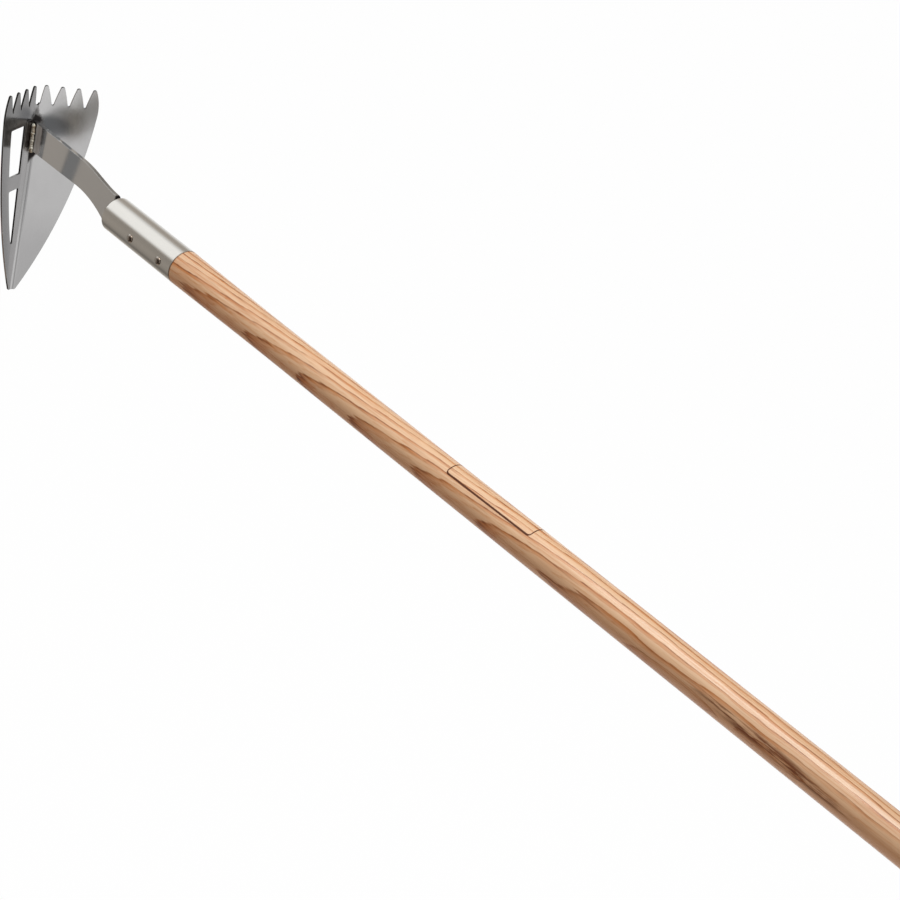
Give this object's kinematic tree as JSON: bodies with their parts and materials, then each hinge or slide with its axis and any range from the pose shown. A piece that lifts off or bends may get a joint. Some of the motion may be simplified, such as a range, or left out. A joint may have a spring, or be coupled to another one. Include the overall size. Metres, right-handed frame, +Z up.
{
  "type": "weeding hoe",
  "caption": "Long-handled weeding hoe with a folded, pointed steel blade that has a comb top and a windowed wing, a welded curved neck, a riveted ferrule and a round ash handle.",
  "frame": {"origin": "on the handle axis, in the middle of the straight grip", "axes": "+X along the handle from the blade to the butt, +Y to the solid wing of the blade, +Z up to the comb"},
  "size_m": [1.5203, 0.1038, 0.2039],
  "materials": {
    "blade_steel": "satin stainless sheet",
    "neck_steel": "ground stainless bar with heat tint at the weld",
    "weld_steel": "rippled weld metal with heat tint",
    "ferrule_steel": "lengthwise brushed stainless",
    "rivet_steel": "domed head",
    "ash_wood": "varnished ash with long grain"
  },
  "bodies": {
    "root": {"blade": "blade_steel", "neck": "neck_steel", "blade_weld_left": "weld_steel", "blade_weld_right": "weld_steel", "ferrule": "ferrule_steel", "nose_weld_left": "weld_steel", "nose_weld_right": "weld_steel", "front_rivet": "rivet_steel", "rear_rivet": "rivet_steel", "handle": "ash_wood"}
  },
  "joints": []
}
